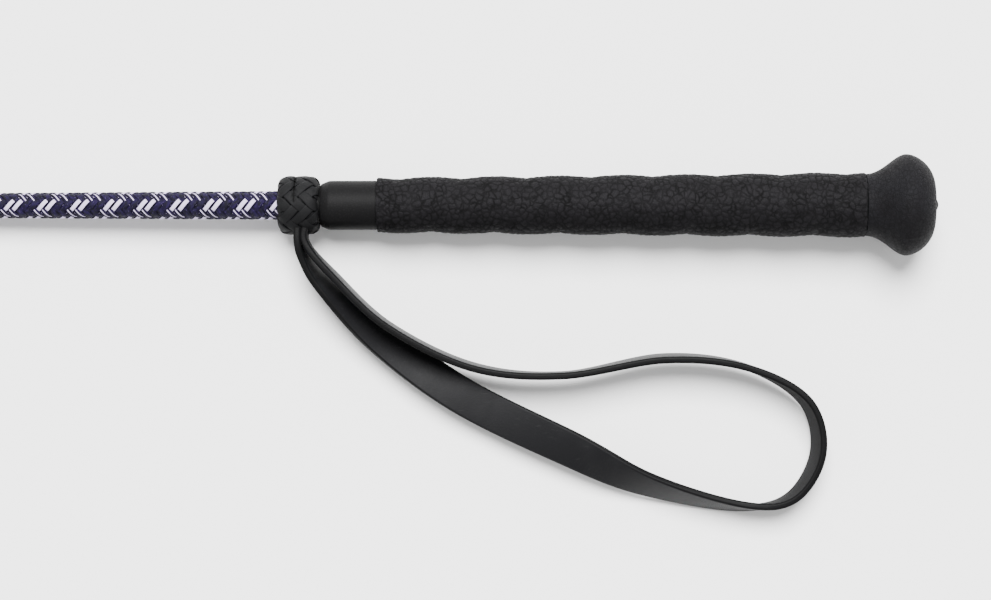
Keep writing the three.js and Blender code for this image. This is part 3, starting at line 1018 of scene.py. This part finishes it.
@dataclass
class TurksHeadKnot:
    """The woven leather knot that holds the wrist strap, with its dark core."""

    axis: ShaftAxis
    weave: Growth
    strands: int = 12
    pitch: float = 62.0 * MM
    lace_depth: float = 0.8 * MM
    bulge: float = 4.2 * MM
    drop: float = 4.0 * MM
    core_depth: float = 1.4 * MM
    inset: float = 0.45 * MM
    facing: float = math.radians(113)
    slit_offset: float = 6.2 * MM
    slit_depth: float = 0.7 * MM

    def core_profile(self, start: float, end: float, outer: float, bore: float) -> list[Point]:
        """Gives the hollow core's section, whose cavity leaves room for the strap ends."""
        lip = 1.2 * MM
        slope = 1.7 * MM
        shoulder = outer - 1.8 * MM
        cavity = outer - 0.55 * MM
        return [
            (start, bore), (start, shoulder), (start + slope, outer), (end - slope, outer),
            (end, shoulder), (end, bore), (end - lip, bore), (end - lip, cavity - lip),
            (end - 2 * lip, cavity), (start + 2 * lip, cavity), (start + lip, cavity - lip),
            (start + lip, bore)]

    def build(self) -> None:
        """Weaves the knot."""
        start, end = self.axis.span("turks_head_knot")
        reach = self.axis.reach("turks_head_knot")
        slit = start + self.slit_offset
        first = start + self.inset
        lace = KnotLeather(self.axis, slit).material()
        for hand in Hand:
            piece = new_piece(f"knot_{hand.name.lower()}", [])
            self.weave.grow(
                piece, lace, Strands=self.strands, Points=90, Sides=14, Start=first,
                Length=end - start - 2 * self.inset, Pitch=self.pitch, Phase=start,
                Facing=self.facing, Hand=hand.value, StartRadius=reach - self.drop,
                EndRadius=reach - self.drop, Bulge=self.bulge - self.lace_depth, Crowding=0.8,
                Coverage=0.97, Flatness=0.27, Wave=0.17, Wander=0.12, Shift=0.0,
                Roundness=0.55, SlitStation=slit, SlitDepth=self.slit_depth)
            self.axis.settle(piece)
            replaced = ("turks_head_knot",) if hand is Hand.RISING else ()
            hand_over(piece, "crop", "knot", replaced)
        bore = self.axis.end_radii("braided_cover")[1] + FIT
        section = self.core_profile(first, end, reach - self.core_depth, bore)
        core = turned("knot_core", section, 96, WaxedThread(grey(0.006)).material())
        hand_over(self.axis.settle(core), "crop", "knot")


@dataclass
class Handle:
    """The plastic tube, its rubber grip and the mushroom cap on its butt."""

    axis: ShaftAxis
    nose_length: float = 3.2 * MM
    nose_step: float = 1.15 * MM
    seam_angle: float = math.radians(133)
    seam_height: float = 0.07 * MM
    spiral_pitch: float = 22.6 * MM
    spiral_start: float = 28.0 * MM
    spiral_depth: float = 0.8 * MM
    braid_stop: float = 14 * MM
    spigot_step: float = 0.45 * MM
    grip_rings: int = 430
    grip_lip: float = 0.18 * MM
    pebble_depth: float = 0.17 * MM
    press_fit: float = 0.15 * MM
    cap_overlap: float = 0.48 * MM
    cap_neck: float = 11.0 * MM
    cap_flare: float = 14.4 * MM

    def seam(self, station: float, angle: float) -> float:
        """Gives the height of the mould's parting line, on both sides of the handle."""
        off = math.remainder(angle - self.seam_angle, math.pi)
        return self.seam_height * math.exp(-(off / math.radians(1.6)) ** 2)

    def build_tube(self) -> None:
        """Turns the tube, with a thin collar in front that closes the gap to the knot."""
        front, back = self.axis.span("handle_tube")
        radius = self.axis.reach("handle_tube")
        shoulder = self.axis.span("grip_sleeve")[0] - FIT
        spigot = radius - self.spigot_step
        mouth = self.axis.end_radii("braided_cover")[1] + FIT
        bore = mouth - 1.2 * MM
        stop = front + self.braid_stop
        nose = radius - self.nose_step
        bend = front + self.nose_length
        collar = self.axis.span("turks_head_knot")[1] + 0.05 * MM
        profile = [
            (stop, mouth), (collar, mouth), (collar, mouth + THIN_WALL),
            (front, mouth + THIN_WALL), (front, nose - 0.5 * MM),
            (front + 0.15 * MM, nose - 0.15 * MM), (front + 0.5 * MM, nose + 0.1 * MM),
            (bend - 0.5 * MM, radius - 0.14 * MM), (bend, radius - 0.04 * MM),
            (bend + 0.5 * MM, radius), (shoulder, radius), (shoulder, spigot),
            (back, spigot), (back, bore), (stop, bore)]
        tube = turned("handle_tube_skin", profile, 240, MouldedPlastic().material(), self.seam)
        hand_over(self.axis.settle(tube), "crop", "tube", ["handle_tube"])

    def spiral(self, station: float, angle: float) -> float:
        """Gives how far the grip's helical valley sinks."""
        turns = (station - self.spiral_start) / self.spiral_pitch + angle / (2 * math.pi)
        crest = abs(math.sin(math.pi * turns))
        return self.seam(station, angle) - self.spiral_depth * (1.0 - crest)

    def build_grip(self) -> None:
        """Turns the grip with its spiral, then presses pebbles into it."""
        start, end = self.axis.span("grip_sleeve")
        front, back = self.axis.end_radii("grip_sleeve")
        bore = self.axis.reach("handle_tube") - self.press_fit
        pebbles = PebbledRubber()
        rubber = pebbles.material()
        lip = self.grip_lip
        outside = []
        for i in range(self.grip_rings + 1):
            share = i / self.grip_rings
            station = start + share * (end - start)
            margin = min(station - start, end - station, lip)
            rounding = lip - math.sqrt(max(lip ** 2 - (lip - margin) ** 2, 0.0))
            outside.append((station, front + share * (back - front) - rounding))
        grip = turned("grip_skin", outside, 190, rubber, self.spiral, bore)
        self.axis.settle(grip)
        skin = grip.data.attributes.new("skin", "FLOAT", "POINT")
        for vertex in grip.data.vertices:
            away = self.axis.radius_of(vertex.co)
            skin.data[vertex.index].value = 1.0 if away > bore + FIT else 0.0
        pebble_tree().grow(grip, rubber, Cell=pebbles.cell, Depth=self.pebble_depth)
        hand_over(grip, "crop", "grip_rubber", ["grip_sleeve"])

    def build_cap(self) -> None:
        """Turns the cap: a neck that flares to a round rim, a domed end and a nib."""
        start, end = self.axis.span("butt_cap")
        start -= self.cap_overlap
        rim = self.axis.reach("butt_cap")
        widest = start + self.cap_flare
        neck = self.cap_neck
        lip = 0.15 * MM
        socket = self.axis.reach("handle_tube") - self.press_fit
        floor = self.axis.span("handle_tube")[1] + 0.6 * MM
        flare = bezier(
            (start + lip, neck), (start + 6 * MM, neck), (widest - 4 * MM, rim), (widest, rim),
            26)
        crown = bezier(
            (widest, rim), (widest + 3.4 * MM, rim), (end - 3 * MM, rim - 3.4 * MM),
            (end - 1.8 * MM, rim - 8.5 * MM), 22)
        nib = [
            (end - 1.35 * MM, 4.2 * MM), (end - 0.8 * MM, 2.4 * MM), (end - 0.2 * MM, 1.1 * MM),
            (end, 0.4 * MM), (end, 0.0)]
        profile = [
            (floor, 0.0), (floor, socket), (start, socket), (start, neck - lip),
            (start + lip, neck), *flare, *crown, *nib]
        # The cap's pebbles, with weaker painted shade in their creases.
        rubber = PebbledRubber(
            name="cap_rubber", strength=0.55, cell=1.7 * MM, crest=grey(0.0075, 1.02, 1.15))
        cap = turned("butt_cap_skin", profile, 200, rubber.material(), self.seam)
        hand_over(self.axis.settle(cap), "crop", "cap", ["butt_cap"])

    def build(self) -> None:
        """Builds the three parts of the handle."""
        self.build_tube()
        self.build_grip()
        self.build_cap()


@dataclass
class WristStrap:
    """The leather wrist strap, one ribbon that leaves the knot and comes back to it."""

    axis: ShaftAxis
    width: float = 13.4
    thickness: float = 2.5
    edge_radius: float = 0.85
    steps: int = 460
    front_limb: float = -8.1
    rear_limb: float = -5.3
    hidden_end: float = -6.6
    curve_steps: int = 40

    def route(self) -> list[tuple[float, float, float, float]]:
        """Gives the route in millimetres, in the shaft's stations, as the parts have it.

        Returns:
            Rows of distance along the shaft, distance across it, clearance and lean in degrees.
        """
        return [
            (self.front_limb, self.hidden_end, 6.3, 0),
            (self.front_limb, -13.6, 6.3, 0),
            (-6, -19, 5, 8),
            (1, -28, 4.2, 25),
            (22, -48, 3.2, 60),
            (51, -68.5, 6.5, 84),
            (89, -87, 7, 108),
            (116, -99.5, 3, 144),
            (149, -107.5, 0, 169),
            (168, -104.5, 0.8, 186),
            (177.5, -88, 2.2, 191),
            (172.5, -69.5, 3.5, 188),
            (151, -57.5, 4.6, 179),
            (122, -54.5, 5.2, 175),
            (86, -60.5, 5.8, 179),
            (54, -57.5, 6.4, 176),
            (24, -43, 7, 176),
            (4, -24.5, 6.8, 176),
            (self.rear_limb, -13.6, 6.3, 180),
            (self.rear_limb, self.hidden_end, 6.3, 180),
        ]

    def smooth(self) -> list[Vector]:
        """Draws one smooth curve through the route and spaces points evenly along it."""
        rows = [Vector(row) for row in self.route()]
        padded = [2 * rows[0] - rows[1], *rows, 2 * rows[-1] - rows[-2]]
        fine = []
        for i in range(1, len(padded) - 2):
            before, here, there, after = padded[i - 1:i + 3]
            for j in range(self.curve_steps):
                t = j / self.curve_steps
                fine.append(0.5 * (
                    2 * here + (there - before) * t
                    + (2 * before - 5 * here + 4 * there - after) * t ** 2
                    + (3 * here - before - 3 * there + after) * t ** 3))
        fine.append(rows[-1])
        lengths = [0.0]
        for left, right in zip(fine, fine[1:]):
            lengths.append(lengths[-1] + (right.xyz - left.xyz).length)
        spaced = []
        k = 0
        for i in range(self.steps + 1):
            target = lengths[-1] * i / self.steps
            while k < len(fine) - 2 and lengths[k + 1] < target:
                k += 1
            gap = max(lengths[k + 1] - lengths[k], 1e-9)
            spaced.append(fine[k].lerp(fine[k + 1], min((target - lengths[k]) / gap, 1.0)))
        log.info("wrist strap runs %.0f mm", lengths[-1])
        return spaced

    def build(self) -> None:
        """Sweeps the ribbon along the route, leaning it as the route gives."""
        rows = self.smooth()
        points = []
        facings = []
        for i, row in enumerate(rows):
            ahead = rows[min(i + 1, len(rows) - 1)] - rows[max(i - 1, 0)]
            along = Vector((ahead.x, ahead.y, 0.0)).normalized()
            outward = Vector((along.y, -along.x, 0.0))
            lean = math.radians(row.w)
            widthways = outward * math.sin(lean) + Vector((0.0, 0.0, math.cos(lean)))
            rest = self.width * abs(math.cos(lean)) + self.thickness * abs(math.sin(lean))
            points.append(Vector((row.x, row.y, max(row.z, 0.0) + rest / 2)) * MM)
            facings.append(along.cross(widthways))
        strap = new_piece("wrist_strap_leather", points, edges=[
            (i, i + 1) for i in range(len(points) - 1)])
        self.axis.carry(strap)
        write_vectors(strap, "facing", facings)
        ribbon_tree().grow(
            strap, StrapLeather("strap_leather").material(), Width=self.width * MM,
            Thickness=self.thickness * MM, EdgeRadius=self.edge_radius * MM)
        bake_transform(strap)
        declare(
            strap, "strap_leather", ["strap_loop", "strap_tail_front", "strap_tail_rear"])


@dataclass
class Keeper:
    """The folded leather tongue at the tip: two plies, their stitches and the whipping."""

    axis: ShaftAxis
    root_half: float = 2.0
    flap_half: float = 13.5
    corner: float = 7.0
    root_end: float = -357.0
    flare_start: float = -374.0
    flare_end: float = -400.0
    tip: float = -431.0
    pivot: float = -388.0
    flat: float = -404.0
    ply: float = 1.5
    root_ply: float = 1.2
    root_offset: float = 2.7
    closing_start: float = -375.0
    closing_length: float = 11.0
    ply_gap: float = 0.3
    side_squareness: float = 0.25
    face_squareness: float = 0.45
    steps: int = 150
    stitch_inset: float = 2.4
    stitch_pace: float = 3.4
    seam_steps: int = 60

    def half_width(self, station: float) -> float:
        """Gives half the tongue's width at a station, in millimetres."""
        if station > self.flare_start:
            return self.root_half
        if station > self.flare_end:
            share = ease((self.flare_start - station) / (self.flare_start - self.flare_end))
            return self.root_half + (self.flap_half - self.root_half) * share
        into = max(self.tip + self.corner - station, 0.0) / self.corner
        return self.flap_half - self.corner * (1.0 - math.sqrt(max(1.0 - into ** 2, 0.0)))

    def middle(self, station: float, side: int) -> float:
        """Gives the height of a ply's middle, in millimetres.

        Args:
            station: The station along the shaft.
            side: 1 for the upper ply and -1 for the lower.

        Returns:
            The height above the table.
        """
        direction = self.axis.direction
        slope = direction.z / direction.x
        level = self.axis.origin.z / MM + slope * station
        meeting = (self.ply + self.ply_gap) / 2
        closing = ease((self.closing_start - station) / self.closing_length)
        offset = self.root_offset + (meeting - self.root_offset) * closing
        sink = ease((self.pivot - station) / (self.pivot - self.flat))
        resting = self.ply + self.ply_gap / 2 + side * meeting
        return (level + side * offset) * (1.0 - sink) + resting * sink

    def ply_piece(self, name: str, side: int, finish: bpy.types.Material) -> bpy.types.Object:
        """Lofts one ply from its root to its tip, with rounded edges.

        Args:
            name: The piece's name.
            side: 1 for the upper ply and -1 for the lower.
            finish: Its material.

        Returns:
            The closed ply.
        """
        loop = 20
        points = []
        for i in range(self.steps + 1):
            share = i / self.steps
            station = self.root_end + (self.tip - self.root_end) * math.sin(share * math.pi / 2)
            half = self.half_width(station)
            thickening = ease((self.closing_start - station) / (self.closing_length + 1.0))
            thick = self.root_ply + (self.ply - self.root_ply) * thickening
            height = self.middle(station, side)
            for j in range(loop):
                turn = 2 * math.pi * (j + 0.5) / loop
                side_on = math.cos(turn)
                face_on = math.sin(turn)
                across = math.copysign(abs(side_on) ** self.side_squareness, side_on) * half
                lift = math.copysign(abs(face_on) ** self.face_squareness, face_on)
                rise = lift * thick / 2
                points.append(Vector((station, across, height + rise)) * MM)
        faces = [list(range(loop)), [self.steps * loop + j for j in reversed(range(loop))]]
        for i in range(self.steps):
            for j in range(loop):
                k = (j + 1) % loop
                faces.append((
                    i * loop + j, i * loop + k, (i + 1) * loop + k, (i + 1) * loop + j))
        piece = new_piece(name, points, faces, finish=finish)
        self.axis.carry(piece)
        return close_shell(piece, 60.0)

    def stitches(self) -> bpy.types.Object:
        """Sews a row of stitches round the flap, just inside its edge."""
        inset = self.stitch_inset
        pace = self.stitch_pace
        first = self.flat + 2
        outline = []
        for i in range(self.seam_steps + 1):
            share = math.sin(i / self.seam_steps * math.pi / 2)
            station = first - (first - self.tip - inset) * share
            outline.append(Vector((station, self.half_width(station - 0.6 * inset) - inset)))
        mirrored = [Vector((point.x, -point.y)) for point in reversed(outline)]
        path = [*outline, *mirrored]
        middles = []
        headings = []
        travelled = 0.0
        following = pace / 2
        for left, right in zip(path, path[1:]):
            length = (right - left).length
            while length > 0 and following <= travelled + length:
                spot = left.lerp(right, (following - travelled) / length)
                top = self.middle(spot.x, 1) + self.ply / 2
                middles.append(Vector((spot.x, spot.y, top)) * MM)
                headings.append(Vector((*(right - left).normalized(), 0.0)))
                following += pace
            travelled += length
        piece = new_piece("keeper_stitches", middles)
        self.axis.carry(piece)
        write_vectors(piece, "heading", headings)
        return stitch_tree().grow(
            piece, WaxedThread(grey(0.05)).material(), Length=2.5 * MM, Thread=0.28 * MM)

    def build(self) -> None:
        """Builds the plies, the stitches and the whipping."""
        leather = StrapLeather("keeper_leather").material()
        for label, side in (("upper", 1), ("lower", -1)):
            piece = self.ply_piece(f"keeper_ply_{label}", side, leather)
            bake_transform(piece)
            declare(piece, "keeper_leather", [f"keeper_root_{label}", f"keeper_flap_{label}"])
        hand_over(self.stitches(), "keeper", "thread")
        start, end = self.axis.span("keeper_whipping")
        reach = self.axis.reach("keeper_whipping")
        thread = 0.31 * MM
        coil = new_piece("whipping_thread", [])
        coil_tree().grow(
            coil, WaxedThread().material(), Start=start + thread, Length=end - start - 2 * thread,
            Radius=reach - thread, Thread=thread, Turns=(end - start) / thread / 2)
        hand_over(self.axis.settle(coil), "crop", "thread", ["keeper_whipping"])


@dataclass
class HiddenParts:
    """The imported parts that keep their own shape, and only get a finish."""

    def build(self) -> None:
        """Dresses each node."""
        thread = WaxedThread().material()
        finishes = {
            "core_rod": DrawnFibre("glass_rod", grey(0.012), grey(0.005), 0.5).material(),
            "butt_plug": DrawnFibre(
                "plug_wood", (0.50, 0.32, 0.16, 1.0), (0.28, 0.16, 0.07, 1.0), 0.6).material(),
            "knot_foundation": thread,
            "binding_front": thread,
            "binding_rear": thread,
        }
        for node, finish in finishes.items():
            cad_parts[node].material_slots[0].material = finish
            log.info("%s: packed shape, new finish", node)


@dataclass
class Studio:
    """The pale table, a soft light from the side away from the strap, and the camera."""

    axis: ShaftAxis
    camera_height: float = 1.0
    lens: float = 100.7
    floor_tone: float = 0.95
    sky: float = 0.85
    sun: float = 11.9
    sun_tilt: float = math.radians(28)
    sun_spread: float = math.radians(32)
    table_half: float = 3.0
    camera_along: float = 62.1 * MM
    camera_aside: float = 33.7 * MM

    def build(self) -> None:
        """Sets up the floor, the light and the camera."""
        scene = bpy.context.scene
        half = self.table_half
        corners = [(-half, -half, 0), (half, -half, 0), (half, half, 0), (-half, half, 0)]
        floor = new_piece("table", corners, [(0, 1, 2, 3)])
        floor.data.materials.append(Paint("table_top").finish(
            base_color=grey(self.floor_tone), roughness=0.9, specular_ior_level=0.1))
        world = bpy.data.worlds.new("studio")
        world.use_nodes = True
        background = world.node_tree.nodes["Background"]
        background.inputs["Color"].default_value = grey(1.0)
        background.inputs["Strength"].default_value = self.sky
        scene.world = world
        lamp = bpy.data.lights.new("softbox", "SUN")
        lamp.energy = self.sun
        lamp.angle = self.sun_spread
        light = bpy.data.objects.new("softbox", lamp)
        light.rotation_euler = (-self.sun_tilt, 0.0, 0.0)
        scene.collection.objects.link(light)
        lens = bpy.data.cameras.new("camera")
        lens.lens = self.lens
        camera = bpy.data.objects.new("camera", lens)
        centre = self.axis.origin
        camera.location = (
            centre.x + self.camera_along, centre.y - self.camera_aside, self.camera_height)
        scene.collection.objects.link(camera)
        scene.camera = camera


def main() -> None:
    """Builds every sub-assembly in order."""
    logging.basicConfig(level=logging.INFO, format="%(message)s")
    axis = ShaftAxis.from_frame()
    Studio(axis).build()
    weave = strand_tree()
    for assembly in (
        BraidedCover(axis, weave), TurksHeadKnot(axis, weave), Handle(axis), WristStrap(axis),
        Keeper(axis), HiddenParts(),
    ):
        assembly.build()


if __name__ == "__main__":
    main()
